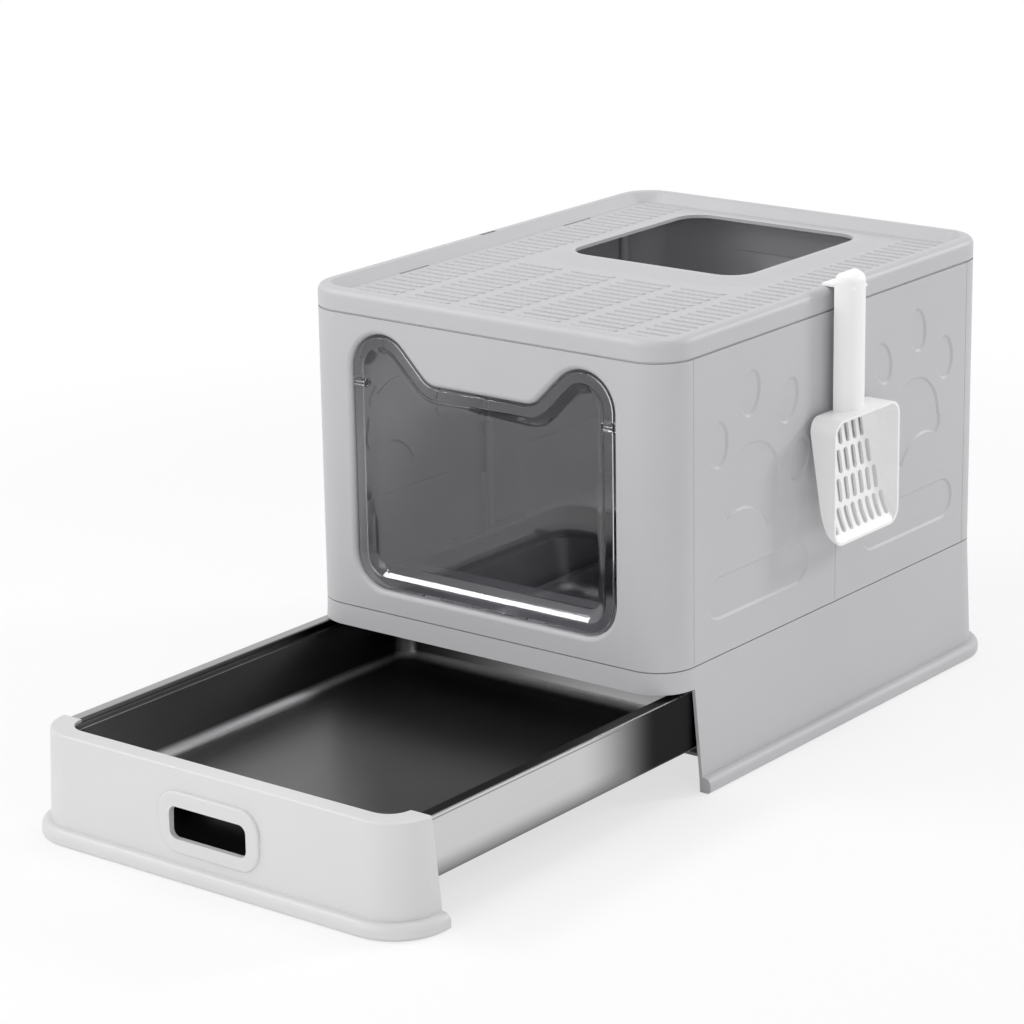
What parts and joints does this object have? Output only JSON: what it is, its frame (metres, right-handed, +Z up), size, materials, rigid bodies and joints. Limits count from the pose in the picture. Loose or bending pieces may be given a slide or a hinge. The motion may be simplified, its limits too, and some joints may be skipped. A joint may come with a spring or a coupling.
{
  "type": "enclosed cat litter box",
  "caption": "Enclosed litter box: drafted base with a pull-out stainless steel tray, hinged walls, clear swing flap shaped like a cat's head, lid with a top exit and hanging scoop.",
  "frame": {"origin": "on the floor, under the middle of the base, at the crossing of the floor plate's ribs", "axes": "+X to the user's right seen from the front, +Y from the door to the rear, +Z up"},
  "size_m": [0.432, 0.873, 0.4095],
  "materials": {
    "grey_plastic": "fine satin moulding, light grey",
    "white_plastic": "satin moulding, white",
    "clear_plastic": "polished, clear with a smoky tint",
    "stainless_steel": "satin pressed stainless steel sheet",
    "pin_steel": "plain drawn wire"
  },
  "bodies": {
    "cabin": {"base_frame": "grey_plastic", "base_floor": "grey_plastic", "front_panel": "grey_plastic", "rear_panel": "grey_plastic", "side_panel_left_front": "grey_plastic", "side_panel_left_rear": "grey_plastic", "side_panel_right_front": "grey_plastic", "side_panel_right_rear": "grey_plastic", "hinge_pin_left_front": "pin_steel", "hinge_pin_left_middle": "pin_steel", "hinge_pin_left_rear": "pin_steel", "hinge_pin_right_front": "pin_steel", "hinge_pin_right_middle": "pin_steel", "hinge_pin_right_rear": "pin_steel", "flap_pin_left": "pin_steel", "flap_pin_right": "pin_steel"},
    "drawer": {"drawer_front": "white_plastic", "steel_tray": "stainless_steel"},
    "flap": {"door_flap": "clear_plastic"},
    "lid": {"lid": "grey_plastic"},
    "scoop": {"scoop": "white_plastic"}
  },
  "joints": [
    {"name": "drawer_slide", "type": "slide", "parent": "cabin", "child": "drawer", "axis": [0, -1, 0], "range_m": [-0.347, 0.125]},
    {"name": "flap_swing", "type": "hinge", "parent": "cabin", "child": "flap", "pos_m": [0, -0.2445, 0.3165], "axis": [1, 0, 0], "range_deg": [-75, 75]},
    {"name": "lid_lift", "type": "slide", "parent": "cabin", "child": "lid", "axis": [0, 0, 1], "range_m": [0, 0.12]},
    {"name": "scoop_lift", "type": "slide", "parent": "lid", "child": "scoop", "axis": [0, 0, 1], "range_m": [0, 0.12]}
  ]
}
